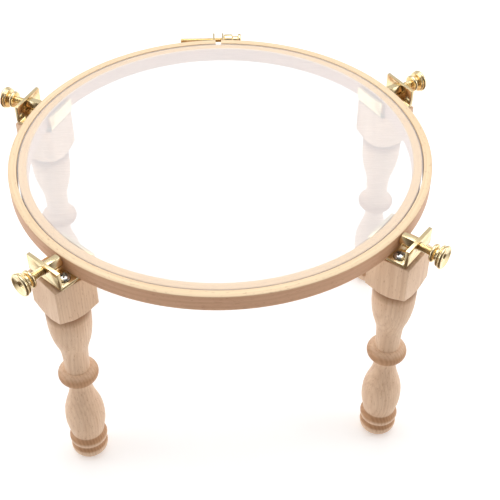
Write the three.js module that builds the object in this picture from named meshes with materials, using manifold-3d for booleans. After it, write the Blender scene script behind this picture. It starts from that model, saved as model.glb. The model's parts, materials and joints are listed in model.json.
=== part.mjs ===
// Embroidery hoop on a four-legged stand: two beech rings that pinch a disc of sheer cloth, and four
// turned beech legs, each carrying a brass U bracket that grips the hoop with a radial thumb screw.
// Millimetres, +Z up, the feet on z = 0, the object's plan centred on the origin.
import * as THREE from "three";
import { mergeVertices } from "three/addons/utils/BufferGeometryUtils.js";
import Module from "manifold-3d";

// Driving dimensions.
const hoopRadius = 152; // outside of the outer ring, a 12 inch hoop
const hoopTop = 201.6; // height of the rings' upper face
const ringHeight = 12.2;
const outerRingWidth = 5.9;
const innerRingWidth = 6.5;
const pinchGap = 1.1; // room for the cloth between the rings
const clothThickness = 0.4;
const contactGap = 0.3; // clearance kept between touching pieces
const ringSteps = 72;

const blockSize = 31.2; // square head of a leg
const neckOfBlock = 155; // underside of the block in the middle of a face, where the turning begins
const squareFrom = 159.2; // underside of the block at its corners
const legSteps = 18;

const bracketWidth = 30.2;
const sheet = 2.5; // thickness of the bent brass
const bendRadius = 0.8;
const baseDepth = 15; // underside of the bracket below the hoop's top
const outerFlange = { out: 14, top: 0.2 }; // outer face beyond the ring, top above the hoop's top
const innerFlange = { back: 14.7, top: -2.3 };

const screwDepth = 5; // thumb screw axis below the hoop's top
const shankRadius = 2.9;
const threadedHole = 3.15;
const collarOut = 23.2; // beyond the ring's outer face
const nutFlats = 8;
const nutFrom = 0.6; // nearest point of the nut to the ring
const padRadius = 2.8;
const padThickness = 1.1;

const woodScrewAside = 8.8; // each side of the bracket's middle
const woodScrewOut = 4.6; // beyond the ring's outer face
const woodScrewHead = { radius: 4.2, height: 2.2 };
const woodScrewShank = { radius: 1.75, length: 18 };

const splitWidth = 4.6; // opening of the outer ring at the back
const lugSheet = 1.4;
const lugSpacing = 7.4; // between the middles of the two ears
const lugFoot = 10;
const lugOut = 12.6; // reach of an ear beyond the ring
const lugTop = -1.2;
const lugHeight = 9;
const closure = { out: 9, depth: 5.8, radius: 2, tail: 27.4 };
const tack = { radius: 0.7, length: 4, headRadius: 1.7, headHeight: 0.7 };
const tackAside = lugSpacing / 2 + lugFoot / 2;
const tackSeat = Math.sqrt((hoopRadius + contactGap + lugSheet) ** 2 - tackAside ** 2);

// Plan angle of each leg from +X, and the turn of its block about its own axis.
const corners = [
  { name: "front_left", angle: -134, twist: -6 },
  { name: "front_right", angle: -39, twist: 0.7 },
  { name: "back_left", angle: 154.5, twist: 0 },
  { name: "back_right", angle: 30, twist: 0 },
];

const wasm = await Module();
wasm.setup();

const radians = THREE.MathUtils.degToRad;
const at = (x, y) => new THREE.Vector2(x, y);

const material = (color, roughness, metalness = 0) =>
  new THREE.MeshStandardMaterial({ color, roughness, metalness });
const beech = material(0xe3c3a0, 0.6);
const paleBeech = material(0xf3dcb8, 0.55);
const brass = material(0xd9b06a, 0.25, 1);
const steel = material(0xc9c9c6, 0.3, 1);
const organza = new THREE.MeshStandardMaterial({
  color: 0xffffff,
  roughness: 0.8,
  transparent: true,
  opacity: 0.78,
});

function toSolid(geometry) {
  const bare = geometry.clone();
  bare.deleteAttribute("normal");
  bare.deleteAttribute("uv");
  const merged = mergeVertices(bare, 1e-4);
  return new wasm.Manifold(
    new wasm.Mesh({
      numProp: 3,
      vertProperties: new Float32Array(merged.getAttribute("position").array),
      triVerts: new Uint32Array(merged.index.array),
    }),
  );
}

function toGeometry(solid) {
  const { vertProperties, triVerts } = solid.getMesh();
  const geometry = new THREE.BufferGeometry();
  geometry.setAttribute("position", new THREE.BufferAttribute(vertProperties, 3));
  geometry.setIndex(new THREE.BufferAttribute(triVerts, 1));
  const faceted = geometry.toNonIndexed();
  faceted.computeVertexNormals();
  return faceted;
}

const cut = (geometry, ...tools) =>
  toGeometry(tools.reduce((solid, tool) => solid.subtract(toSolid(tool)), toSolid(geometry)));
const common = (a, b) => toGeometry(toSolid(a).intersect(toSolid(b)));

// Surface of revolution about Z from [radius, height] points that run up the outside.
const turned = (points, steps) => new THREE.LatheGeometry(points, steps).rotateX(Math.PI / 2);

// Surface of revolution about X from [radius, distance] points that run outwards.
const turnedAlongX = (points, steps) => turned(points, steps).rotateY(Math.PI / 2);

// Round bar along X.
const bar = (radius, from, to, steps) =>
  new THREE.CylinderGeometry(radius, radius, to - from, steps)
    .rotateZ(Math.PI / 2)
    .translate((from + to) / 2, 0, 0);

const box = (x, y, z) => new THREE.BoxGeometry(x, y, z);

const arc = (cx, cy, rx, ry, from, to, steps) =>
  new THREE.EllipseCurve(cx, cy, rx, ry, radians(from), radians(to), to < from).getPoints(steps);

const smooth = (points, steps) => new THREE.SplineCurve(points).getPoints(steps);

function piece(name, geometry, look) {
  const mesh = new THREE.Mesh(geometry, look);
  mesh.name = name;
  return mesh;
}

// Round bar along Z.
const post = (radius, from, to, steps) => bar(radius, from, to, steps).rotateY(-Math.PI / 2);

// Outer ring: a bent strip with its upper outer edge eased, cut through at the back and drilled for
// the two tacks.
function outerRing() {
  const inside = hoopRadius - outerRingWidth;
  const round = 1;
  const profile = [
    at(inside, -ringHeight),
    at(hoopRadius - 0.6, -ringHeight),
    at(hoopRadius, -ringHeight + 0.6),
    ...arc(hoopRadius - round, -round, round, round, 0, 90, 3),
    at(inside, 0),
    at(inside, -ringHeight),
  ];
  const split = box(splitWidth, 4 * outerRingWidth, 3 * ringHeight).translate(0, hoopRadius, 0);
  const drill = () => bar(tack.radius + contactGap, -tack.length, 9, 8).rotateZ(Math.PI / 2);
  const holes = [-1, 1].map((side) => drill().translate(side * tackAside, tackSeat, -closure.depth));
  return cut(turned(profile, ringSteps), split, ...holes);
}

// Inner ring: it sits lower than the outer ring by the cloth that passes over it.
function innerRing() {
  const outside = hoopRadius - outerRingWidth - pinchGap;
  const inside = outside - innerRingWidth;
  const top = -clothThickness / 2 - contactGap;
  const ease = 0.7;
  return turned(
    [
      at(inside + ease, -ringHeight),
      at(outside, -ringHeight),
      at(outside, top - ease),
      at(outside - ease, top),
      at(inside + ease, top),
      at(inside, top - ease),
      at(inside, -ringHeight + ease),
      at(inside + ease, -ringHeight),
    ],
    ringSteps,
  );
}

// Cloth: a taut disc over the inner ring, out to the pinch.
function cloth() {
  const edge = hoopRadius - outerRingWidth - contactGap;
  const half = clothThickness / 2;
  return turned([at(0, -half), at(edge, -half), at(edge, half), at(0, half)], ringSteps);
}

// Leg: a square block undercut at its lower end, then turned to a vase, a bead between two necks, a
// lower vase and a foot of two rings. The block's top is drilled for the wood screws.
function leg(twist) {
  const top = hoopTop - baseDepth - contactGap;
  const halfDiagonal = (blockSize / 2) * Math.SQRT2 + 0.4;
  const foot = [at(0, 0), at(9.8, 0), at(13.2, 3.8), at(13.9, 7.8), at(13.2, 9.6), at(12.1, 12)];
  const footRing = [at(12.1, 13.2), at(13.7, 15), at(14.2, 17.4), at(13.7, 19.2), at(11.9, 22.2)];
  const lowerVase = smooth([at(12.1, 23), at(14.5, 36.6), at(13.8, 50.6), at(9.7, 64.6), at(7.8, 73.6)], 8);
  const bead = arc(7.9, 87.3, 6.6, 6.1, -80, 80, 6);
  const swell = [at(9, 101.6), at(9.9, 113.6), at(13.3, 125.6), at(15, 136.6), at(15.4, 148.6)];
  const upperVase = smooth(swell, 7);
  const profile = [
    ...foot,
    ...footRing,
    ...lowerVase,
    ...bead,
    ...upperVase,
    at(blockSize / 2 - 0.1, neckOfBlock),
    at(halfDiagonal, squareFrom),
    at(halfDiagonal, top),
    at(0, top),
  ];
  const prism = box(blockSize, blockSize, top).translate(0, 0, top / 2).rotateZ(radians(twist));
  const drilled = woodScrewHoles(top - woodScrewShank.length, top + 1);
  return cut(common(turned(profile, legSteps), prism), ...drilled);
}

const woodScrewHoles = (from, to) =>
  [-1, 1].map((side) =>
    post(woodScrewShank.radius + contactGap, from, to, 10)
      .translate(woodScrewOut, side * woodScrewAside, 0),
  );

// Bracket: a strip bent to a U, seen end on with x outwards from the hoop's outer face.
function bracket() {
  const outer = outerFlange.out;
  const inner = -innerFlange.back - sheet;
  const bend = bendRadius + sheet;
  const low = bend - baseDepth;
  const outline = new THREE.Shape([
    ...arc(inner + bend, low, bend, bend, 180, 270, 3),
    ...arc(outer - bend, low, bend, bend, 270, 360, 3),
    at(outer, outerFlange.top),
    at(outer - sheet, outerFlange.top),
    ...arc(outer - bend, low, bendRadius, bendRadius, 360, 270, 3),
    ...arc(inner + bend, low, bendRadius, bendRadius, 270, 180, 3),
    at(inner + sheet, innerFlange.top),
    at(inner, innerFlange.top),
  ]);
  const strip = new THREE.ExtrudeGeometry(outline, { depth: bracketWidth, bevelEnabled: false })
    .rotateX(Math.PI / 2)
    .translate(0, bracketWidth / 2, 0);
  const screwHole = bar(threadedHole, 0, outer + 1, 16).translate(0, 0, -screwDepth);
  return cut(strip, screwHole, ...woodScrewHoles(-baseDepth - 1, low));
}

// Clamp nut: a long hexagon, flat side up, from the outer flange almost to the ring.
function clampNut() {
  const to = outerFlange.out - sheet - contactGap;
  const hexagon = bar(nutFlats / Math.sqrt(3), nutFrom, to, 6);
  return cut(hexagon, bar(threadedHole, 0, to + 1, 16));
}

// Thumb screw: threaded shank, round collar, deep waist and a two-ridged head with a dished end.
function thumbScrew() {
  const tip = contactGap + padThickness + contactGap;
  const collar = collarOut;
  const waist = collar + 3;
  const head = waist + 2.4;
  return turnedAlongX(
    [
      at(0, tip),
      at(shankRadius - 0.6, tip),
      at(shankRadius, tip + 0.6),
      at(shankRadius, collar),
      at(5.8, collar),
      ...arc(5.3, collar + 1.5, 1.2, 1.2, -60, 60, 2),
      at(5.8, waist),
      at(4.25, waist + 0.2),
      at(4.25, head - 0.2),
      at(7.3, head),
      at(7.8, head + 0.9),
      at(7.1, head + 1.6),
      at(8.2, head + 2.2),
      at(8.5, head + 3.3),
      at(7.7, head + 4.4),
      at(6.9, head + 4.4),
      at(5.6, head + 3.9),
      at(2.4, head + 3.1),
      at(1.9, head + 1.9),
      at(0, head + 1.7),
    ],
    16,
  );
}

// Pressure pad: the shoe that the screw's tip pushes against the ring.
const pressurePad = () => bar(padRadius, contactGap, contactGap + padThickness, 16);

// Wood screw: a low round head on a shank, with the head's seat at z = 0.
function woodScrew() {
  const { radius, height } = woodScrewHead;
  const { radius: shank, length } = woodScrewShank;
  return turned(
    [
      at(0, -length),
      at(shank, -length + 3),
      at(shank, 0),
      at(radius, 0),
      at(radius, height * 0.4),
      at(radius * 0.7, height * 0.9),
      at(0, height),
    ],
    12,
  );
}

// Closure lug on the right of the split: a foot along the ring and an ear that stands out from it,
// bent from one strip, with a hole for the closure screw and one for the tack.
function closureLug() {
  const face = hoopRadius + contactGap;
  const ear = lugSpacing / 2 - lugSheet / 2;
  const back = ear + lugSheet;
  const end = back + lugFoot;
  const follow = (x, offset) => at(x, Math.sqrt((face + offset) ** 2 - x * x));
  const outline = new THREE.Shape([
    follow(ear, 0),
    follow(end, 0),
    follow(end, lugSheet),
    follow(back, lugSheet),
    at(back, hoopRadius + lugOut),
    at(ear, hoopRadius + lugOut),
  ]);
  const strip = new THREE.ExtrudeGeometry(outline, { depth: lugHeight, bevelEnabled: false })
    .translate(0, 0, lugTop - lugHeight);
  const screwHole = bar(closure.radius + contactGap, ear - 1, back + 1, 16)
    .translate(0, hoopRadius + closure.out, -closure.depth);
  const tackHole = bar(tack.radius + contactGap, -tack.length, 9, 8)
    .rotateZ(Math.PI / 2)
    .translate(tackAside, tackSeat, -closure.depth);
  return cut(strip, screwHole, tackHole);
}

// Tack: it pins a lug's foot to the ring and points away from the hoop, along Y.
function lugTack() {
  const { radius, length, headRadius, headHeight } = tack;
  const profile = [
    at(0, -length),
    at(radius, -length + 1),
    at(radius, 0),
    at(headRadius, 0),
    at(headRadius * 0.8, headHeight * 0.8),
    at(0, headHeight),
  ];
  return turned(profile, 10).rotateX(-Math.PI / 2);
}

// Closure screw: a long threaded shank and a waisted head, along X.
function closureScrew() {
  const seat = lugSpacing / 2 + lugSheet / 2 + contactGap;
  const tail = -lugSpacing / 2 - lugSheet / 2 - closure.tail;
  const body = seat + 7.4;
  const flange = body + 4.4;
  const end = flange + 2.6;
  return turnedAlongX(
    [
      at(0, tail),
      at(closure.radius - 0.5, tail),
      at(closure.radius, tail + 0.5),
      at(closure.radius, seat),
      at(4.3, seat),
      at(4.75, seat + 0.5),
      at(4.75, body - 0.5),
      at(4.3, body),
      at(3.2, body + 0.3),
      at(3.2, flange - 0.3),
      at(4.5, flange),
      at(5, flange + 0.5),
      at(5, end - 0.5),
      at(4.5, end),
      at(0, end),
    ],
    16,
  );
}

// The hoop: rings, cloth and the closure at the back.
function hoop() {
  const group = new THREE.Group();
  const lugRight = piece("closure_lug_right", closureLug(), brass);
  const lugLeft = piece("closure_lug_left", mirrored(closureLug()), brass);
  const screw = piece("closure_screw", closureScrew(), brass);
  screw.position.set(0, hoopRadius + closure.out, -closure.depth);
  const tacks = [
    ["lug_tack_right", 1],
    ["lug_tack_left", -1],
  ].map(([name, side]) => {
    const pin = piece(name, lugTack(), brass);
    pin.position.set(side * tackAside, tackSeat + contactGap, -closure.depth);
    return pin;
  });
  group.add(
    piece("outer_ring", outerRing(), paleBeech),
    piece("inner_ring", innerRing(), paleBeech),
    piece("cloth", cloth(), organza),
    lugRight,
    lugLeft,
    screw,
    ...tacks,
  );
  group.position.z = hoopTop;
  return group;
}

// The same solid on the other side of the hoop's plane of symmetry.
const mirrored = (geometry) => toGeometry(toSolid(geometry).mirror([1, 0, 0]));

// One leg with the clamp on its head. x points outwards from the hoop.
function corner({ name, angle, twist }) {
  const clamp = new THREE.Group();
  clamp.position.z = hoopTop;
  const nut = piece(`clamp_nut_${name}`, clampNut(), brass);
  const pad = piece(`pressure_pad_${name}`, pressurePad(), brass);
  const screw = piece(`thumb_screw_${name}`, thumbScrew(), brass);
  [nut, pad, screw].forEach((mesh) => mesh.position.setZ(-screwDepth));
  clamp.add(piece(`bracket_${name}`, bracket(), brass), nut, pad, screw);
  [-1, 1].forEach((side, index) => {
    const wood = piece(`wood_screw_${index + 1}_${name}`, woodScrew(), steel);
    wood.position.set(woodScrewOut, side * woodScrewAside, -baseDepth + sheet + contactGap);
    clamp.add(wood);
  });
  const outwards = new THREE.Group();
  outwards.position.x = hoopRadius;
  outwards.add(clamp, piece(`leg_${name}`, leg(twist), beech));
  const group = new THREE.Group();
  group.rotation.z = radians(angle);
  group.add(outwards);
  return group;
}

const stand = new THREE.Group();
stand.add(hoop(), ...corners.map(corner));

// The plan centre of the whole object is the origin; the hoop's own axis lies a little off it.
const middle = new THREE.Box3().setFromObject(stand, true).getCenter(new THREE.Vector3());
stand.position.set(-middle.x, -middle.y, 0);

const embroideryHoop = new THREE.Group();
embroideryHoop.add(stand);

export default embroideryHoop;
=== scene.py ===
"""Looks of the embroidery hoop on its four-legged stand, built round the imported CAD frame.

Shapes are worked out in millimetres in three local frames and baked into the row frame in metres:
the hoop's (origin on its axis, in the plane of the rings' upper faces), a corner's (origin on the
outer ring's face, x outwards from the hoop, y along the rim) and a leg's (origin on the table).
"""

import json
import math

import bmesh
import bpy
from mathutils import Matrix, Vector

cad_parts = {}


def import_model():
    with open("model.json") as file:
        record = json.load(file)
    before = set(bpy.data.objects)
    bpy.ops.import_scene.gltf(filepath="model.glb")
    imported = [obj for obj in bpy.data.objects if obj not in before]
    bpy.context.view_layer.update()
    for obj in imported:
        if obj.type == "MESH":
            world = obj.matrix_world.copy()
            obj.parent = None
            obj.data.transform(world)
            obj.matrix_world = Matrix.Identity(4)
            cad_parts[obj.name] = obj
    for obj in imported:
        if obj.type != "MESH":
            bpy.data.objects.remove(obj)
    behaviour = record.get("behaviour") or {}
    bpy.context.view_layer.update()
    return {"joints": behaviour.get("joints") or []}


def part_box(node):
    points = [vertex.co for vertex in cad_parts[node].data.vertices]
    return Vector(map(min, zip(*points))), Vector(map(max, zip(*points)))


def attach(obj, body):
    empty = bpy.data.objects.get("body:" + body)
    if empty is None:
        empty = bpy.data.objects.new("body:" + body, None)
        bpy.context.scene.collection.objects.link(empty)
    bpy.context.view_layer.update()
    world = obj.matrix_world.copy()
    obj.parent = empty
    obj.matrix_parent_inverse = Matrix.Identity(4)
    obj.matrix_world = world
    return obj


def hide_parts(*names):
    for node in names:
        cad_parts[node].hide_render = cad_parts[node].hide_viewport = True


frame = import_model()

MM = 0.001

# Sizes that the CAD parts share, in millimetres.
HOOP_RADIUS = 152.0
RING_HEIGHT = 12.2
OUTER_WIDTH = 5.9
INNER_WIDTH = 6.5
PINCH_GAP = 1.1
SPLIT_WIDTH = 4.6
CONTACT_GAP = 0.3
CLOTH_HALF = 0.2
OUTER_INSIDE = HOOP_RADIUS - OUTER_WIDTH
INNER_OUTSIDE = OUTER_INSIDE - PINCH_GAP
INNER_INSIDE = INNER_OUTSIDE - INNER_WIDTH
BLOCK = 31.2
NECK = 155.0
SQUARE_FROM = 159.2
LEG_TOP = 186.3
BASE_DEPTH = 15.0
SHEET = 2.5
BRACKET_WIDTH = 30.2
BEND_INSIDE = 0.8
OUTER_FLANGE = {"out": 14.0, "top": 0.2}
INNER_FLANGE = {"back": 14.7, "top": -2.3}
SCREW_DEPTH = 5.0
THREAD_PITCH = 1.0
THREADED_HOLE = 3.15
SHANK_RADIUS = 2.9
COLLAR_OUT = 23.2
NUT = {"flats": 8.0, "from": 0.6}
PAD = {"radius": 2.8, "thickness": 1.1}
WOOD_SCREW = {"out": 4.6, "aside": 8.8, "shank": 1.75, "length": 18.0, "hole": 2.05, "pitch": 1.3}

CORNERS = ("front_left", "front_right", "back_left", "back_right")
LEG_TWIST = {"front_left": -6.0, "front_right": 0.7, "back_left": 0.0, "back_right": 0.0}

inner_low, inner_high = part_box("inner_ring")
HOOP_CENTRE = Vector((
    (inner_low.x + inner_high.x) / 2,
    (inner_low.y + inner_high.y) / 2,
    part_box("outer_ring")[1].z,
))
HOOP_FRAME = Matrix.Translation(HOOP_CENTRE) @ Matrix.Scale(MM, 4)


def corner_frame(corner, height):
    """Places millimetres of a corner's frame in the row frame. height is the origin's, in metres."""
    slide = next(j for j in frame["joints"] if j["name"] == f"pad_press_{corner}")
    outwards = Vector(slide["axis"]).normalized()
    along = Vector((0, 0, 1)).cross(outwards)
    turn = Matrix((outwards, along, (0, 0, 1))).transposed().to_4x4()
    origin = Vector((HOOP_CENTRE.x, HOOP_CENTRE.y, height)) + outwards * HOOP_RADIUS * MM
    return Matrix.Translation(origin) @ turn @ Matrix.Scale(MM, 4)


def screw_frame(corner):
    """A corner's frame, with its origin lowered to the axis of the thumb screw."""
    return corner_frame(corner, HOOP_CENTRE.z) @ Matrix.Translation((0, 0, -SCREW_DEPTH))


# ---------------------------------------------------------------------------------------------
# Outlines
# ---------------------------------------------------------------------------------------------
def arc(cx, cy, rx, ry, start, end, steps):
    """Points of an ellipse's arc, with angles in degrees."""
    turns = (math.radians(start + (end - start) * i / steps) for i in range(steps + 1))
    return [(cx + rx * math.cos(t), cy + ry * math.sin(t)) for t in turns]


def spline(points, steps):
    """Points of the smooth curve through the given ones."""
    def between(a, b, c, d, t):
        rise, fall = (c - a) / 2, (d - b) / 2
        cubic, square = 2 * b - 2 * c + rise + fall, 3 * c - 3 * b - 2 * rise - fall
        return ((cubic * t + square) * t + rise) * t + b

    last = len(points) - 1
    made = []
    for i in range(steps + 1):
        place = last * i / steps
        k = min(int(place), last - 1)
        near = [points[min(max(k + j, 0), last)] for j in (-1, 0, 1, 2)]
        made.append(tuple(between(*(p[axis] for p in near), place - k) for axis in (0, 1)))
    return made


def eased(points, steps=4):
    """The polyline with each corner (x, y, ease) rounded over about that length."""
    made = []
    for i, (x, y, ease) in enumerate(points):
        here = Vector((x, y))
        if not ease or i in (0, len(points) - 1):
            made.append(here)
            continue
        before, after = (Vector(points[i + k][:2]) - here for k in (-1, 1))
        reach = min(ease, 0.48 * before.length, 0.48 * after.length)
        start, end = here + before.normalized() * reach, here + after.normalized() * reach
        for k in range(steps + 1):
            t = k / steps
            made.append(start * (1 - t) ** 2 + here * 2 * t * (1 - t) + end * t * t)
    return [tuple(p) for p in made]


# ---------------------------------------------------------------------------------------------
# Meshes
# ---------------------------------------------------------------------------------------------
def new_object(name, points, faces, place):
    """An object whose mesh has the points moved by place, while the object stays at the origin."""
    mesh = bpy.data.meshes.new(name)
    mesh.from_pydata([place @ Vector(p) for p in points], [], faces)
    mesh.validate()
    made = bpy.data.objects.new(name, mesh)
    bpy.context.scene.collection.objects.link(made)
    return made


def tidy(made, material, crease=35):
    """Welds, turns faces out, shades smooth with creases, and gives the material."""
    work = bmesh.new()
    work.from_mesh(made.data)
    bmesh.ops.remove_doubles(work, verts=work.verts, dist=1e-7)
    bmesh.ops.recalc_face_normals(work, faces=work.faces)
    work.to_mesh(made.data)
    work.free()
    for polygon in made.data.polygons:
        polygon.use_smooth = True
    made.data.set_sharp_from_angle(angle=math.radians(crease))
    made.data.materials.clear()
    made.data.materials.append(material)
    return made


def baked(made):
    """Replaces the object's mesh by what its modifiers make of it."""
    graph = bpy.context.evaluated_depsgraph_get()
    mesh = bpy.data.meshes.new_from_object(made.evaluated_get(graph))
    made.modifiers.clear()
    made.data = mesh


def combined(made, operation, *tools):
    """Cuts or intersects the object with the tools, which are used up."""
    for tool in tools:
        modifier = made.modifiers.new("cut", "BOOLEAN")
        modifier.operation = operation
        modifier.solver = "EXACT"
        modifier.object = tool
        baked(made)
        bpy.data.objects.remove(tool)


def bevelled(made, width, segments=2, angle=40):
    """Rounds the object's edges. width is in metres."""
    modifier = made.modifiers.new("bevel", "BEVEL")
    modifier.width = width
    modifier.segments = segments
    modifier.limit_method = "ANGLE"
    modifier.angle_limit = math.radians(angle)
    modifier.harden_normals = False
    baked(made)


def revolved(name, outline, steps, place, axis="Z", thread=None):
    """A closed solid of revolution from (radius, distance) points that start and end on the axis.
    thread is (from, to, pitch, depth) along the axis: a right-hand screw thread on that stretch."""
    points, rings = [], []
    for radius, distance in outline:
        if radius < 1e-6:
            rings.append([len(points)])
            points.append((0.0, 0.0, distance))
            continue
        rings.append(list(range(len(points), len(points) + steps)))
        for i in range(steps):
            turn = 2 * math.pi * i / steps
            r = radius
            if thread and thread[0] < distance < thread[1]:
                wave = abs(((distance / thread[2] - i / steps) % 1) - 0.5) * 2
                r -= thread[3] * (1 - min(max(wave * 1.5 - 0.25, 0), 1))
            points.append((r * math.cos(turn), r * math.sin(turn), distance))
    faces = []
    for low, high in zip(rings, rings[1:]):
        for i in range(steps):
            k = (i + 1) % steps
            corners = [low[i % len(low)], low[k % len(low)], high[k % len(high)], high[i % len(high)]]
            faces.append(list(dict.fromkeys(corners)))
    if axis == "X":
        points = [(z, y, -x) for x, y, z in points]
    if axis == "Y":
        points = [(x, z, -y) for x, y, z in points]
    return new_object(name, points, [f for f in faces if len(f) > 2], place)


def prism(name, outline, width, place, axis="Y"):
    """A flat outline drawn in the x-z plane and thickened both ways along y, or in x-y along z."""
    if axis == "Y":
        sides = [[(x, side * width / 2, z) for x, z in outline] for side in (-1, 1)]
    else:
        sides = [[(x, y, side * width / 2) for x, y in outline] for side in (-1, 1)]
    count = len(outline)
    faces = [list(range(count)), list(range(2 * count - 1, count - 1, -1))]
    faces += [[i, i + count, (i + 1) % count + count, (i + 1) % count] for i in range(count)]
    return new_object(name, sides[0] + sides[1], faces, place)


def rod(radius, start, end, place, axis="Z", steps=48):
    """A round bar, used up as a tool that drills a hole."""
    outline = [(0, start), (radius, start), (radius, end), (0, end)]
    return revolved("tool", outline, steps, place, axis)


def swept_ring(name, outline, steps, gap, place):
    """A ring of (radius, height) outline round Z, open by gap degrees about +Y, or closed."""
    count = len(outline)
    rows = steps + 1 if gap else steps
    points = []
    for i in range(rows):
        turn = math.radians(90 + gap / 2 + (360 - gap) * i / steps)
        points += [(r * math.cos(turn), r * math.sin(turn), z) for r, z in outline]
    faces = []
    for i in range(steps):
        a, b = i * count, ((i + 1) % rows) * count
        for k in range(count):
            n = (k + 1) % count
            faces.append([a + k, b + k, b + n, a + n])
    if gap:
        faces.append(list(range(count - 1, -1, -1)))
        faces.append([steps * count + k for k in range(count)])
    return new_object(name, points, faces, place)


# ---------------------------------------------------------------------------------------------
# Materials
# ---------------------------------------------------------------------------------------------
class Nodes:
    """A short hand for building one node tree."""

    def __init__(self, name):
        self.material = bpy.data.materials.new(name)
        self.material.use_nodes = True
        self.tree = self.material.node_tree
        self.shader = self.tree.nodes["Principled BSDF"]

    def add(self, kind, **inputs):
        node = self.tree.nodes.new(kind)
        for key, value in inputs.items():
            self.put(node.inputs[key.replace("_", " ")], value)
        return node

    def put(self, socket, value):
        if isinstance(value, bpy.types.NodeSocket):
            self.tree.links.new(value, socket)
        else:
            socket.default_value = value

    def math(self, operation, *values, clamp=False):
        node = self.tree.nodes.new("ShaderNodeMath")
        node.operation = operation
        node.use_clamp = clamp
        for socket, value in zip(node.inputs, values):
            self.put(socket, value)
        return node.outputs[0]

    def noise(self, vector, scale, detail=3.0, roughness=0.55):
        node = self.add("ShaderNodeTexNoise", Vector=vector, Scale=scale, Detail=detail)
        node.inputs["Roughness"].default_value = roughness
        return node.outputs["Fac"]

    def remap(self, value, low, high, to_low=0.0, to_high=1.0):
        node = self.add("ShaderNodeMapRange", Value=value)
        node.inputs["From Min"].default_value = low
        node.inputs["From Max"].default_value = high
        node.inputs["To Min"].default_value = to_low
        node.inputs["To Max"].default_value = to_high
        return node.outputs["Result"]

    def mix(self, factor, a, b, blend="MIX"):
        node = self.tree.nodes.new("ShaderNodeMix")
        node.data_type = "RGBA"
        node.blend_type = blend
        self.put(node.inputs[0], factor)
        self.put(node.inputs[6], a)
        self.put(node.inputs[7], b)
        return node.outputs[2]

    def scaled(self, vector, x, y, z):
        node = self.add("ShaderNodeMapping", Vector=vector)
        node.inputs["Scale"].default_value = (x, y, z)
        return node.outputs[0]

    def bump(self, height, strength, distance):
        node = self.add("ShaderNodeBump", Height=height, Strength=strength, Distance=distance)
        self.put(self.shader.inputs["Normal"], node.outputs[0])


def grain_along_z(nodes):
    """Coordinates in metres with the wood's fibres along the last axis."""
    return nodes.add("ShaderNodeTexCoord").outputs["Object"]


def grain_round_hoop(nodes):
    """Coordinates in metres with the fibres, the last axis, running round the hoop."""
    place = nodes.add("ShaderNodeTexCoord").outputs["Object"]
    split = nodes.add("ShaderNodeSeparateXYZ", Vector=place)
    x = nodes.math("SUBTRACT", split.outputs["X"], HOOP_CENTRE.x)
    y = nodes.math("SUBTRACT", HOOP_CENTRE.y, split.outputs["Y"])
    square = nodes.math("ADD", nodes.math("MULTIPLY", x, x), nodes.math("MULTIPLY", y, y))
    radius = nodes.math("SQRT", square)
    run = nodes.math("MULTIPLY", nodes.math("ARCTAN2", x, y), HOOP_RADIUS * MM)
    join = nodes.add("ShaderNodeCombineXYZ", X=radius, Y=split.outputs["Z"], Z=run)
    return join.outputs[0]


# Painted shade, multiplied into the outer ring's upright outer side.
SIDE_SHADE_TINT = (0.74, 0.56, 0.52, 1)
# Painted shade, multiplied into the inner ring's upright walls.
WALL_SHADE_TINT = (0.78, 0.72, 0.86, 1)
# Colours of the browner bands on the legs: end grain, and painted shade.
GRAIN_AND_SHADE_PALE, GRAIN_AND_SHADE_DEEP = (0.57, 0.31, 0.16, 1), (0.49, 0.25, 0.12, 1)
# Painted shade on the block's top under the bracket.
BRACKET_SHADE = (0.30, 0.14, 0.06, 1)
# Painted shadow under the block's overhang.
BLOCK_SHADOW = (0.30, 0.13, 0.05, 1)


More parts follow.
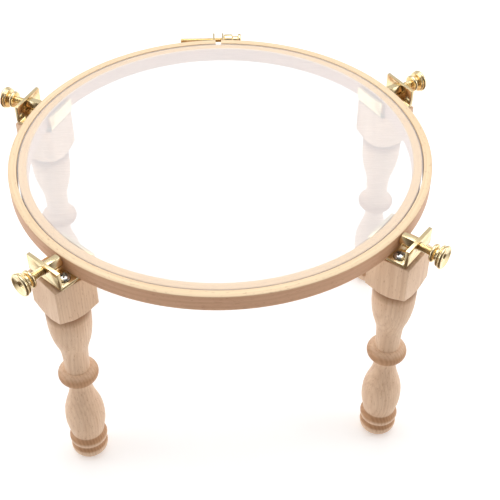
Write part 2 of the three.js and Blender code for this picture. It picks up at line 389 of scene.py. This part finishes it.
def beech(name, grain, pale, deep, line, faces, layer, across, along):
    """Beech: growth layers cut lengthwise, soft streaks, fibres and short dark ray flecks. faces is the
    function that changes the colour on some of the piece's faces: end grain, and painted shade on walls,
    in hollows and under overhangs. layer is the width of a growth layer in metres, and across and along
    are the streaks' counts in a metre."""
    nodes = Nodes(name)
    vector = grain(nodes)
    split = nodes.add("ShaderNodeSeparateXYZ", Vector=vector)
    warp = nodes.noise(nodes.scaled(vector, 45, 45, along), 1.0, 3.0)
    leaning = nodes.math("MULTIPLY", split.outputs["Y"], 0.6)
    side = nodes.math("ADD", nodes.math("MULTIPLY", split.outputs["X"], 0.8), leaning)
    straight = nodes.math("MULTIPLY", side, 2 * math.pi / layer)
    turns = nodes.math("ADD", straight, nodes.math("MULTIPLY", warp, 8.0))
    wave = nodes.math("MULTIPLY_ADD", nodes.math("SINE", turns), 0.5, 0.5)
    layers = nodes.math("POWER", wave, 2.5)
    streaks = nodes.noise(nodes.scaled(vector, across, across, along), 1.0, 4.0, 0.65)
    clouds = nodes.noise(nodes.scaled(vector, 30, 30, 8), 1.0, 2.0)
    fibres = nodes.noise(nodes.scaled(vector, 1500, 1500, 60), 1.0, 3.0, 0.6)
    flecks = nodes.noise(nodes.scaled(vector, 1150, 1150, 260), 1.0, 1.0, 0.5)
    tone = nodes.math(
        "ADD",
        nodes.math("MULTIPLY", nodes.remap(streaks, 0.36, 0.66), 0.55),
        nodes.math("MULTIPLY", nodes.remap(clouds, 0.3, 0.7), 0.3),
    )
    fine = nodes.math("MULTIPLY", nodes.math("SUBTRACT", fibres, 0.5), 0.9)
    tone = nodes.math("ADD", tone, fine, clamp=True)
    colour = nodes.mix(tone, (*pale, 1), (*deep, 1))
    colour = nodes.mix(nodes.math("MULTIPLY", layers, 0.17), colour, (*line, 1))
    spots = nodes.remap(flecks, 0.64, 0.72)
    colour = nodes.mix(nodes.math("MULTIPLY", spots, 0.5), colour, (*line, 1))
    colour = faces(nodes, colour, split.outputs, wave)
    nodes.put(nodes.shader.inputs["Base Color"], colour)
    nodes.put(nodes.shader.inputs["Roughness"], nodes.remap(fibres, 0.3, 0.7, 0.42, 0.58))
    nodes.shader.inputs["Specular IOR Level"].default_value = 0.3
    height = nodes.math("SUBTRACT", fibres, nodes.math("MULTIPLY", layers, 0.35))
    nodes.bump(nodes.math("SUBTRACT", height, nodes.math("MULTIPLY", spots, 0.5)), 0.3, 0.00014)
    return nodes.material


def walls(nodes):
    """1 on a piece's upright faces and 0 on its level ones."""
    normal = nodes.add("ShaderNodeTexCoord").outputs["Normal"]
    facing = nodes.add("ShaderNodeSeparateXYZ", Vector=normal).outputs["Z"]
    return nodes.remap(nodes.math("ABSOLUTE", facing), 0.6, 0.3)


def ring_faces(nodes, colour, place, *_):
    """The ring's upright outer side is tinted darker and pinker than its sanded top: painted shade."""
    outside = nodes.remap(place["X"], (HOOP_RADIUS - 3) * MM, (HOOP_RADIUS - 2) * MM)
    side = nodes.math("MULTIPLY", walls(nodes), outside)
    return nodes.mix(side, colour, nodes.mix(1.0, colour, SIDE_SHADE_TINT, "MULTIPLY"))


def inner_faces(nodes, colour, *_):
    """The inner ring is sanded all round; its upright walls are painted greyer and darker than its top:
    painted shade.
    """
    return nodes.mix(walls(nodes), colour, nodes.mix(1.0, colour, WALL_SHADE_TINT, "MULTIPLY"))


# Heights in mm on a leg where the colour turns browner: start, full, end and clear, and how strongly. The
# bands are end grain where the turning tool cut across the fibres, and painted shade in the foot's
# grooves, at the floor, under the bead and under the block.
END_GRAIN_AND_SHADE = (
    (-1.0, 0.0, 2.0, 5.0, 0.4),
    (8.4, 9.8, 13.2, 14.8, 0.9),
    (17.2, 19.2, 22.6, 24.0, 0.9),
    (80.0, 81.5, 89.5, 92.8, 0.85),
    (138.0, 150.0, 154.9, 155.0, 0.3),
)


def leg_faces(nodes, colour, place, wave):
    """Browner bands, which are end grain where the turning tool cut across the fibres and painted shade in
    the foot's grooves, at the floor, under the bead and under the block; painted shade on the seat under
    the bracket; and a painted shadow in the corner under the block."""
    height = place["Z"]
    rings = nodes.mix(wave, GRAIN_AND_SHADE_PALE, GRAIN_AND_SHADE_DEEP)
    for start, full, end, clear, strength in END_GRAIN_AND_SHADE:
        rise = nodes.remap(height, start * MM, full * MM)
        fall = nodes.remap(height, clear * MM, end * MM)
        band = nodes.math("MULTIPLY", nodes.math("MULTIPLY", rise, fall), strength)
        colour = nodes.mix(band, colour, rings)
    # Painted shade on the block's top just under the bracket's base.
    seat = nodes.remap(height, (LEG_TOP - 0.5) * MM, (LEG_TOP - 0.2) * MM)
    colour = nodes.mix(nodes.math("MULTIPLY", seat, 0.2), colour, BRACKET_SHADE)
    # Painted shadow on the spindle in the corner just under the block.
    step = nodes.remap(height, (NECK - 8) * MM, (NECK - 1) * MM)
    step = nodes.math("MULTIPLY", step, nodes.remap(height, (NECK + 0.5) * MM, (NECK + 0.1) * MM))
    return nodes.mix(nodes.math("MULTIPLY", step, 0.8), colour, BLOCK_SHADOW)


def metal(name, colour, shade, roughness):
    """Polished metal: slight tarnish in clouds, fine scratches and uneven polish."""
    nodes = Nodes(name)
    scratch, spread = 0.1, 0.05
    place = nodes.add("ShaderNodeTexCoord").outputs["Object"]
    clouds = nodes.noise(nodes.scaled(place, 160, 160, 160), 1.0, 4.0, 0.6)
    scratches = nodes.noise(nodes.scaled(place, 2600, 700, 900), 1.0, 2.0, 0.7)
    tint = nodes.remap(clouds, 0.35, 0.75, 0.0, 1.0)
    nodes.put(nodes.shader.inputs["Base Color"], nodes.mix(tint, (*colour, 1), (*shade, 1)))
    nodes.shader.inputs["Metallic"].default_value = 1.0
    dull = nodes.math("MULTIPLY", clouds, spread)
    uneven = nodes.math("ADD", dull, nodes.math("MULTIPLY", scratches, spread))
    nodes.put(nodes.shader.inputs["Roughness"], nodes.math("ADD", uneven, roughness - spread))
    nodes.bump(scratches, scratch, 0.00003)
    return nodes.material


def organza(name):
    """Sheer white cloth: crossed fine threads with gaps that let what lies behind show through. The
    threads are pulled apart where the cloth bends over the inner ring."""
    nodes = Nodes(name)
    place = nodes.add("ShaderNodeTexCoord").outputs["Object"]
    split = nodes.add("ShaderNodeSeparateXYZ", Vector=place)
    thread_spacing = 0.45 * MM
    turns = [nodes.math("MULTIPLY", split.outputs[axis], 2 * math.pi / thread_spacing) for axis in "XY"]
    weave = nodes.math("MAXIMUM", *(nodes.math("SINE", turn) for turn in turns))
    slubs = nodes.noise(nodes.scaled(place, 60, 900, 60), 1.0, 2.0)
    cover = nodes.remap(weave, -0.8, 0.9, 0.38, 0.62)
    thicker = nodes.math("MULTIPLY", nodes.math("SUBTRACT", slubs, 0.5), 0.08)
    cover = nodes.math("ADD", cover, thicker, clamp=True)
    radius = nodes.add("ShaderNodeSeparateXYZ", Vector=grain_round_hoop(nodes)).outputs["X"]
    opened = nodes.remap(radius, (INNER_INSIDE - 0.5) * MM, (INNER_INSIDE + 0.8) * MM, 1.0, 0.5)
    nodes.put(nodes.shader.inputs["Alpha"], nodes.math("MULTIPLY", cover, opened))
    tone = nodes.mix(slubs, (0.90, 0.93, 0.97, 1), (0.97, 0.98, 1.0, 1))
    nodes.put(nodes.shader.inputs["Base Color"], tone)
    nodes.shader.inputs["Roughness"].default_value = 0.75
    nodes.shader.inputs["Sheen Weight"].default_value = 0.25
    nodes.shader.inputs["Sheen Roughness"].default_value = 0.4
    nodes.bump(weave, 0.15, 0.00008)
    return nodes.material


BEECH_RING = beech(
    "beech_round_hoop", grain_round_hoop, (0.95, 0.76, 0.51), (0.86, 0.64, 0.41), (0.58, 0.36, 0.21),
    ring_faces, 0.0024, 520, 14,
)
BEECH_INNER = beech(
    "beech_inner_hoop", grain_round_hoop, (0.94, 0.71, 0.45), (0.88, 0.64, 0.39), (0.68, 0.43, 0.25),
    inner_faces, 0.0024, 520, 14,
)
BEECH_LEG = beech(
    "beech_turned", grain_along_z, (0.90, 0.66, 0.47), (0.74, 0.49, 0.32), (0.52, 0.28, 0.14),
    leg_faces, 0.0022, 420, 14,
)
BRASS = metal("polished_brass", (0.93, 0.78, 0.49), (0.84, 0.64, 0.35), 0.23)
STEEL = metal("zinc_steel", (0.66, 0.66, 0.65), (0.48, 0.48, 0.47), 0.2)
ORGANZA = organza("organza")


def piece(made, body, slot, *nodes):
    """Puts a finished object on its body, in place of its CAD nodes."""
    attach(made, body)
    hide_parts(*nodes)


# ---------------------------------------------------------------------------------------------
# Hoop
# ---------------------------------------------------------------------------------------------
RING_STEPS = 288


def outer_ring():
    """A bent strip, open at the split, with its edges eased."""
    outline = eased([
        (OUTER_INSIDE, -5, 0),
        (OUTER_INSIDE, -RING_HEIGHT, 0.5),
        (HOOP_RADIUS, -RING_HEIGHT, 0.9),
        (HOOP_RADIUS, 0, 1.1),
        (OUTER_INSIDE, 0, 0.5),
        (OUTER_INSIDE, -5, 0),
    ])[:-1]
    gap = math.degrees(SPLIT_WIDTH / HOOP_RADIUS)
    made = swept_ring("beech_outer_ring", outline, RING_STEPS, gap, HOOP_FRAME)
    piece(tidy(made, BEECH_RING), "hoop", "beech_ring", "outer_ring")


def inner_ring():
    """A closed ring just below the cloth."""
    top = -CLOTH_HALF - CONTACT_GAP
    outline = eased([
        (INNER_INSIDE, -5, 0),
        (INNER_INSIDE, -RING_HEIGHT, 0.9),
        (INNER_OUTSIDE, -RING_HEIGHT, 0.5),
        (INNER_OUTSIDE, top, 0.8),
        (INNER_INSIDE, top, 1.4),
        (INNER_INSIDE, -5, 0),
    ])[:-1]
    made = swept_ring("beech_inner_ring", outline, RING_STEPS, 0, HOOP_FRAME)
    piece(tidy(made, BEECH_INNER), "inner_hoop", "beech_ring", "inner_ring")


def cloth():
    """One sheet: taut across the inner ring, over its edge, and down between the two rings."""
    pinch = OUTER_INSIDE - CONTACT_GAP
    top = -CLOTH_HALF
    radii = [0.0, 2.0] + [2.0 + (INNER_INSIDE - 2.0) * (i / 40) for i in range(1, 41)]
    line = [(r, top) for r in radii]
    line += [(INNER_INSIDE + 1.8 * i, top) for i in range(1, 4)]
    line += [(pinch - 0.4, top - 0.06), (pinch - 0.12, top - 0.22), (pinch, top - 0.6)]
    line += [(pinch, -2.5 - i * 2) for i in range(4)]
    pucker_from, pucker_height = 0.8, 0.09
    steps = 256
    points, rings = [], []
    for radius, height in line:
        if radius == 0:
            rings.append([0])
            points.append((0, 0, height))
            continue
        rings.append(list(range(len(points), len(points) + steps)))
        for i in range(steps):
            turn = 2 * math.pi * i / steps
            near_rim = (radius / INNER_INSIDE - pucker_from) / (1 - pucker_from)
            swell = near_rim * (1 - near_rim) if 0 < near_rim < 1 else 0
            pucker = pucker_height * swell * math.sin(37 * turn + 2 * math.sin(5 * turn))
            points.append((radius * math.cos(turn), radius * math.sin(turn), height + pucker))
    faces = []
    for low, high in zip(rings, rings[1:]):
        for i in range(steps):
            k = (i + 1) % steps
            corners = [low[i % len(low)], high[i % len(high)], high[k % len(high)], low[k % len(low)]]
            faces.append(list(dict.fromkeys(corners)))
    made = tidy(new_object("organza_cloth", points, faces, HOOP_FRAME), ORGANZA, crease=80)
    piece(made, "inner_hoop", "cloth", "cloth")


# ---------------------------------------------------------------------------------------------
# Closure at the back of the outer ring
# ---------------------------------------------------------------------------------------------
LUG = {"sheet": 1.4, "spacing": 7.4, "foot": 10.0, "out": 12.6, "top": -1.2, "height": 9.0, "bend": 0.8}
CLOSURE = {"out": 9.0, "depth": 5.8, "radius": 2.0, "tail": 27.4, "pitch": 0.7}
CLOSURE_FRAME = HOOP_FRAME @ Matrix.Translation((0, HOOP_RADIUS + CLOSURE["out"], -CLOSURE["depth"]))
TACK = {"hole": 1.0, "shank": 0.7, "length": 4.0}
TACK_ASIDE = LUG["spacing"] / 2 + LUG["foot"] / 2
TACK_SEAT = math.sqrt((HOOP_RADIUS + CONTACT_GAP + LUG["sheet"]) ** 2 - TACK_ASIDE**2)


def closure_lug(side, name, node):
    """A strip bent to an L: a foot along the ring, and an ear with rounded corners and a hole."""
    face = HOOP_RADIUS + CONTACT_GAP
    sheet = LUG["sheet"]
    ear = LUG["spacing"] / 2 - sheet / 2
    back = ear + sheet
    end = back + LUG["foot"]

    def follow(x, offset):
        return (side * x, math.sqrt((face + offset) ** 2 - x * x))

    foot = [follow(ear + (end - ear) * i / 6, 0) for i in range(7)]
    foot_back = [follow(end + (back + LUG["bend"] - end) * i / 6, sheet) for i in range(7)]
    bend_y = follow(back, sheet)[1]
    bend = [(side * (back + 0.25), bend_y + 0.25), (side * back, bend_y + LUG["bend"])]
    reach = HOOP_RADIUS + LUG["out"]
    outline = foot + foot_back + bend + [(side * back, reach), (side * ear, reach)]
    middle = Matrix.Translation((0, 0, LUG["top"] - LUG["height"] / 2))
    made = prism(name, outline, LUG["height"], HOOP_FRAME @ middle, axis="Z")
    # On the left the ends come out reversed, so that this tool is inside out and cuts nothing: the
    # left ear has no bore round the screw, where the CAD has one.
    bore = CLOSURE["radius"] + CONTACT_GAP
    screw_hole = rod(bore, side * (ear - 2), side * (back + 2), CLOSURE_FRAME, "X")
    tack_place = HOOP_FRAME @ Matrix.Translation((side * TACK_ASIDE, TACK_SEAT, -CLOSURE["depth"]))
    tack_hole = rod(TACK["hole"], -TACK["length"], TACK["length"], tack_place, "Y", 24)
    combined(made, "DIFFERENCE", screw_hole, tack_hole)
    bevelled(made, 0.22 * MM)
    piece(tidy(made, BRASS), "hoop", "brass", node)


def lug_tack(side, name, node):
    """A round-headed tack that pins a lug's foot to the ring."""
    radius, tip = TACK["shank"], -TACK["length"]
    outline = eased([
        (0, tip, 0), (radius, tip + 1, 0), (radius, 0, 0), (1.7, 0, 0.1),
        (1.6, 0.35, 0.2), (1.0, 0.62, 0.4), (0, 0.7, 0),
    ])
    spot = (side * TACK_ASIDE, TACK_SEAT + CONTACT_GAP, -CLOSURE["depth"])
    made = revolved(name, outline, 32, HOOP_FRAME @ Matrix.Translation(spot), "Y")
    piece(tidy(made, BRASS), "hoop", "brass", node)


def threaded(start, end, radius, pitch, per_turn=8):
    """Close-set points along a threaded stretch, from start to end."""
    count = round((end - start) / pitch * per_turn)
    return [(radius, start + (end - start) * i / count) for i in range(count + 1)]


def closure_screw():
    """A long threaded shank and a waisted head with a shallow recess in its end."""
    seat = LUG["spacing"] / 2 + LUG["sheet"] / 2 + CONTACT_GAP
    tail = -LUG["spacing"] / 2 - LUG["sheet"] / 2 - CLOSURE["tail"]
    radius = CLOSURE["radius"]
    body, flange = seat + 7.4, seat + 11.8
    end = flange + 2.6
    shank = [(0, tail), (radius - 0.6, tail)] + threaded(tail + 0.5, seat - 0.2, radius, CLOSURE["pitch"])
    head = eased([
        (radius, seat, 0), (4.0, seat, 0.2), (4.75, seat + 0.6, 0.4),
        (4.75, body - 0.6, 0.4), (4.2, body, 0.3), (3.2, body + 0.2, 0.3),
        (3.2, flange - 0.2, 0.3), (4.4, flange, 0.2), (5.0, flange + 0.5, 0.4),
        (5.0, end - 0.5, 0.4), (4.5, end, 0.3), (3.4, end, 0.3), (2.8, end - 0.3, 0.3), (0, end - 0.35, 0),
    ])
    thread = (tail + 0.6, seat - 0.3, CLOSURE["pitch"], 0.35)
    made = revolved("brass_closure_screw", shank + head, 48, CLOSURE_FRAME, "X", thread)
    piece(tidy(made, BRASS), "closure_screw", "brass", "closure_screw")


# ---------------------------------------------------------------------------------------------
# Corner: leg, bracket, nut, screws
# ---------------------------------------------------------------------------------------------
def wood_screw_holes(place, start, end):
    """The tools that drill a corner's two holes for wood screws, from start to end in height."""
    spots = [Matrix.Translation((WOOD_SCREW["out"], side * WOOD_SCREW["aside"], 0)) for side in (-1, 1)]
    return [rod(WOOD_SCREW["hole"], start, end, place @ spot, steps=24) for spot in spots]


def leg(corner):
    """A turned spindle under a square block, which is undercut slightly towards the spindle."""
    half_diagonal = BLOCK / 2 * math.sqrt(2) + 0.4
    outline = [(0.0, 0.0)]
    outline += eased([
        (0, 0, 0), (9.8, 0, 0.8), (13.2, 3.8, 2.0), (13.9, 7.8, 1.6), (13.3, 9.7, 0.7), (12.2, 11.6, 1.0),
        (12.1, 13.4, 0.8), (13.7, 14.9, 0.7), (14.3, 17.4, 1.6), (13.7, 19.4, 0.8), (12.2, 21.9, 0.7),
        (12.1, 23, 0),
    ], 6)[1:-1]
    outline += spline([(12.1, 23), (14.5, 36.6), (13.8, 50.6), (9.7, 64.6), (7.8, 73.6)], 36)
    outline += arc(7.9, 87.3, 6.6, 6.1, -80, 80, 24)
    swell = [(9, 101.6), (9.9, 113.6), (13.3, 125.6), (15, 136.6), (15.4, 148.6), (15.4, 154.4)]
    outline += spline(swell, 36)
    outline += [(15.5, NECK), (18.9, NECK + 2.4), (half_diagonal, SQUARE_FROM)]
    outline += [(half_diagonal, LEG_TOP + 4), (0, LEG_TOP + 4)]
    place = corner_frame(corner, 0.0)
    made = revolved(f"beech_leg_{corner}", outline, 128, place)
    half = BLOCK / 2
    square = [(-half, -half), (half, -half), (half, half), (-half, half)]
    below = 8
    lift = Matrix.Translation((0, 0, (LEG_TOP - below) / 2))
    turn = Matrix.Rotation(math.radians(LEG_TWIST[corner]), 4, "Z")
    block = prism("tool", square, LEG_TOP + below, place @ turn @ lift, axis="Z")
    bevelled(block, 0.45 * MM, 3)
    combined(made, "INTERSECT", block)
    combined(made, "DIFFERENCE", *wood_screw_holes(place, LEG_TOP - WOOD_SCREW["length"], LEG_TOP + 2))
    piece(tidy(made, BEECH_LEG, 32), f"clamp_{corner}", "beech_leg", f"leg_{corner}")


def bracket(corner):
    """A U bent from one strip, with the bends' true radii and its edges eased."""
    outer, inner = OUTER_FLANGE["out"], -INNER_FLANGE["back"] - SHEET
    bend = BEND_INSIDE + SHEET
    low = bend - BASE_DEPTH
    outline = arc(inner + bend, low, bend, bend, 180, 270, 8)
    outline += arc(outer - bend, low, bend, bend, 270, 360, 8)
    outline += [(outer, OUTER_FLANGE["top"]), (outer - SHEET, OUTER_FLANGE["top"])]
    outline += arc(outer - bend, low, BEND_INSIDE, BEND_INSIDE, 360, 270, 6)
    outline += arc(inner + bend, low, BEND_INSIDE, BEND_INSIDE, 270, 180, 6)
    outline += [(inner + SHEET, INNER_FLANGE["top"]), (inner, INNER_FLANGE["top"])]
    place = corner_frame(corner, HOOP_CENTRE.z)
    made = prism(f"brass_bracket_{corner}", outline, BRACKET_WIDTH, place)
    bore = rod(THREADED_HOLE, 5, 20, screw_frame(corner), "X")
    combined(made, "DIFFERENCE", bore, *wood_screw_holes(place, -BASE_DEPTH - 2, -BASE_DEPTH + 6))
    bevelled(made, 0.25 * MM, 2, 50)
    piece(tidy(made, BRASS), f"clamp_{corner}", "brass", f"bracket_{corner}")


def clamp_nut(corner):
    """A long hexagon, flat side up, with lightly chamfered ends and a bore."""
    start, end = NUT["from"], OUTER_FLANGE["out"] - SHEET - CONTACT_GAP
    place = screw_frame(corner)
    across = NUT["flats"] / math.sqrt(3)
    hexagon = arc(0, 0, across, across, 0, 300, 5)
    upright = Matrix(((0, 0, 1, (start + end) / 2), (1, 0, 0, 0), (0, 1, 0, 0), (0, 0, 0, 1)))
    made = prism(f"brass_clamp_nut_{corner}", hexagon, end - start, place @ upright, axis="Z")
    chamfer = eased([
        (0, start - 1, 0), (across - 0.9, start - 0.4, 0), (across + 0.3, start + 0.8, 0),
        (across + 0.3, end + 1, 0), (0, end + 1, 0),
    ])
    combined(made, "INTERSECT", revolved("tool", chamfer, 64, place, "X"))
    combined(made, "DIFFERENCE", rod(THREADED_HOLE, 0, 14, place, "X"))
    bevelled(made, 0.18 * MM)
    piece(tidy(made, BRASS), f"clamp_{corner}", "brass", f"clamp_nut_{corner}")


def pressure_pad(corner):
    """The shoe between the thumb screw's tip and the ring."""
    radius, start, end = PAD["radius"], CONTACT_GAP, CONTACT_GAP + PAD["thickness"]
    outline = eased([(0, start, 0), (radius, start, 0.3), (radius, end, 0.3), (0, end, 0)])
    place = screw_frame(corner)
    made = revolved(f"brass_pressure_pad_{corner}", outline, 48, place, "X")
    piece(tidy(made, BRASS), f"pad_{corner}", "brass", f"pressure_pad_{corner}")


def thumb_screw(corner):
    """Threaded shank, round collar, deep waist, and a head with a ridge, a groove and a rolled rim."""
    tip, radius, collar = 2 * CONTACT_GAP + PAD["thickness"], SHANK_RADIUS, COLLAR_OUT
    waist = collar + 3
    head = waist + 2.4
    shank = [(0, tip), (radius - 0.7, tip), (radius - 0.55, tip + 0.1)]
    shank += threaded(tip + 0.6, collar - 0.8, radius, THREAD_PITCH)
    turned = eased([
        (2.5, collar - 0.7, 0), (2.5, collar, 0.3), (5.6, collar, 0.9), (6.5, collar + 0.9, 0.9),
        (6.5, collar + 2.1, 0.9), (5.6, waist, 0.9), (4.25, waist + 0.15, 0.5), (4.25, head - 0.15, 0.6),
        (7.2, head, 0.6), (7.8, head + 0.8, 0.6), (7.05, head + 1.6, 0.35), (8.1, head + 2.2, 0.6),
        (8.5, head + 3.3, 0.9), (7.8, head + 4.4, 0.7), (6.8, head + 4.4, 0.5), (5.6, head + 3.9, 1.0),
        (2.4, head + 3.1, 0.6), (1.9, head + 1.9, 0.4), (0, head + 1.7, 0),
    ], 6)
    place = screw_frame(corner)
    thread = (tip + 0.7, collar - 0.85, THREAD_PITCH, 0.5)
    made = revolved(f"brass_thumb_screw_{corner}", shank + turned, 64, place, "X", thread)
    piece(tidy(made, BRASS), f"thumb_screw_{corner}", "brass", f"thumb_screw_{corner}")


def wood_screw(corner, number, side):
    """A round-headed wood screw with a cross recess, its thread running down into the leg."""
    place = corner_frame(corner, HOOP_CENTRE.z)
    seat = -BASE_DEPTH + SHEET + CONTACT_GAP
    place = place @ Matrix.Translation((WOOD_SCREW["out"], side * WOOD_SCREW["aside"], seat))
    radius, tip, pitch = WOOD_SCREW["shank"], -WOOD_SCREW["length"], WOOD_SCREW["pitch"]
    shank = [(0, tip), (0.3, tip + 0.4)] + threaded(tip + 1, -4, radius, pitch, 7)
    head = eased([
        (radius, -3.9, 0), (radius, 0, 0), (4.2, 0, 0.2), (4.2, 0.75, 0.5), (3.1, 1.85, 1.2), (0, 2.2, 0),
    ], 6)
    thread = (tip + 1, -4, pitch, 0.6)
    made = revolved(f"steel_wood_screw_{number}_{corner}", shank + head, 48, place, thread=thread)
    recess = [(-3.1, 2.6), (-1.0, 0.2), (1.0, 0.2), (3.1, 2.6)]
    turn = Matrix.Rotation(math.radians(37 + 50 * number), 4, "Z")
    quarter = Matrix.Rotation(math.radians(90), 4, "Z")
    combined(
        made, "DIFFERENCE",
        prism("tool", recess, 1.3, place @ turn),
        prism("tool", recess, 1.3, place @ turn @ quarter),
    )
    piece(tidy(made, STEEL), f"clamp_{corner}", "steel", f"wood_screw_{number}_{corner}")


outer_ring()
inner_ring()
cloth()
for side, hand in ((1, "right"), (-1, "left")):
    closure_lug(side, f"brass_closure_lug_{hand}", f"closure_lug_{hand}")
    lug_tack(side, f"brass_lug_tack_{hand}", f"lug_tack_{hand}")
closure_screw()
for name in CORNERS:
    leg(name)
    bracket(name)
    clamp_nut(name)
    pressure_pad(name)
    thumb_screw(name)
    wood_screw(name, 1, -1)
    wood_screw(name, 2, 1)


# ---------------------------------------------------------------------------------------------
# Stage, lights, camera
# ---------------------------------------------------------------------------------------------
def floor():
    """A white sweep. Polished metal doesn't mirror it, so that it mirrors the tent instead."""
    half, drop = 6.0, 0.2 * MM
    points = [(-half, -half, 0), (half, -half, 0), (half, half, 0), (-half, half, 0)]
    made = new_object("floor", points, [(0, 1, 2, 3)], Matrix.Translation((0, 0, -drop)))
    nodes = Nodes("white_sweep")
    nodes.shader.inputs["Base Color"].default_value = (0.8, 0.8, 0.8, 1)
    nodes.shader.inputs["Roughness"].default_value = 0.9
    nodes.shader.inputs["Specular IOR Level"].default_value = 0.0
    nodes.shader.inputs["Emission Color"].default_value = (1, 1, 1, 1)
    nodes.shader.inputs["Emission Strength"].default_value = 0.36
    made.data.materials.append(nodes.material)
    made.visible_glossy = False


def area_light(name, power, size, position):
    """A rectangular lamp aimed at the hoop's middle."""
    target = Vector((0, 0, 0.15))
    light = bpy.data.lights.new(name, "AREA")
    light.energy = power
    light.shape = "RECTANGLE"
    light.size, light.size_y = size
    made = bpy.data.objects.new(name, light)
    bpy.context.scene.collection.objects.link(made)
    made.location = position
    made.rotation_mode = "QUATERNION"
    made.rotation_quaternion = (target - Vector(position)).to_track_quat("-Z", "Y")


def world():
    """A white tent that is open, and so dark and warm, on the camera's side."""
    made = bpy.data.worlds.new("studio")
    bpy.context.scene.world = made
    made.use_nodes = True
    tree = made.node_tree

    def node(kind, *values, **settings):
        new = tree.nodes.new(kind)
        for key, value in settings.items():
            setattr(new, key, value)
        for socket, value in zip(new.inputs, values):
            if isinstance(value, bpy.types.NodeSocket):
                tree.links.new(value, socket)
            else:
                socket.default_value = value
        return new.outputs[0]

    direction = tree.nodes.new("ShaderNodeTexCoord").outputs["Generated"]
    split = tree.nodes.new("ShaderNodeSeparateXYZ")
    tree.links.new(direction, split.inputs[0])
    x, y, z = split.outputs
    back = node("ShaderNodeMapRange", y, -0.12, 0.10, 0.0, 1.0)
    above = node("ShaderNodeMapRange", z, 0.55, 0.95, 0.0, 1.0)
    across = node("ShaderNodeMath", x, operation="ABSOLUTE")
    aside = node("ShaderNodeMapRange", across, 0.75, 0.92, 0.0, 1.0)
    most = node("ShaderNodeMath", back, above, operation="MAXIMUM")
    most = node("ShaderNodeMath", most, aside, operation="MAXIMUM")
    mix = node("ShaderNodeMix", most, data_type="RGBA").node
    mix.inputs[6].default_value = (0.12, 0.09, 0.07, 1)
    mix.inputs[7].default_value = (1.0, 1.0, 1.0, 1)
    background = tree.nodes["Background"]
    tree.links.new(mix.outputs[2], background.inputs["Color"])
    # Below the horizon it is brighter: that is what polished metal mirrors in place of the floor.
    strength = node("ShaderNodeMapRange", z, -0.05, 0.05, 1.35, 0.66)
    tree.links.new(strength, background.inputs["Strength"])


def camera():
    """The viewpoint: in front of the hoop and above it, aimed a little off its middle."""
    distance, elevation = 4.871 * HOOP_RADIUS * MM, math.radians(36.54)
    pan, tilt, roll = (math.radians(a) for a in (-1.527, -5.723, 1.139))
    data = bpy.data.cameras.new("camera")
    data.sensor_width = 36.0
    data.lens = 73.25
    made = bpy.data.objects.new("camera", data)
    bpy.context.scene.collection.objects.link(made)
    back = Vector((0, -math.cos(elevation), math.sin(elevation))) * distance
    made.matrix_world = (
        Matrix.Translation(HOOP_CENTRE + back)
        @ Matrix.Rotation(math.pi / 2 - elevation, 4, "X")
        @ Matrix.Rotation(pan, 4, "Y")
        @ Matrix.Rotation(tilt, 4, "X")
        @ Matrix.Rotation(-roll, 4, "Z")
    )
    bpy.context.scene.camera = made


floor()
world()
area_light("overhead", 20.0, (1.6, 1.6), (0.0, 0.3, 1.9))
area_light("left", 5.5, (0.9, 0.9), (-1.5, 0.0, 0.7))
area_light("right", 5.5, (0.9, 0.9), (1.5, 0.0, 0.7))
camera()
bpy.context.scene.view_settings.view_transform = "Standard"
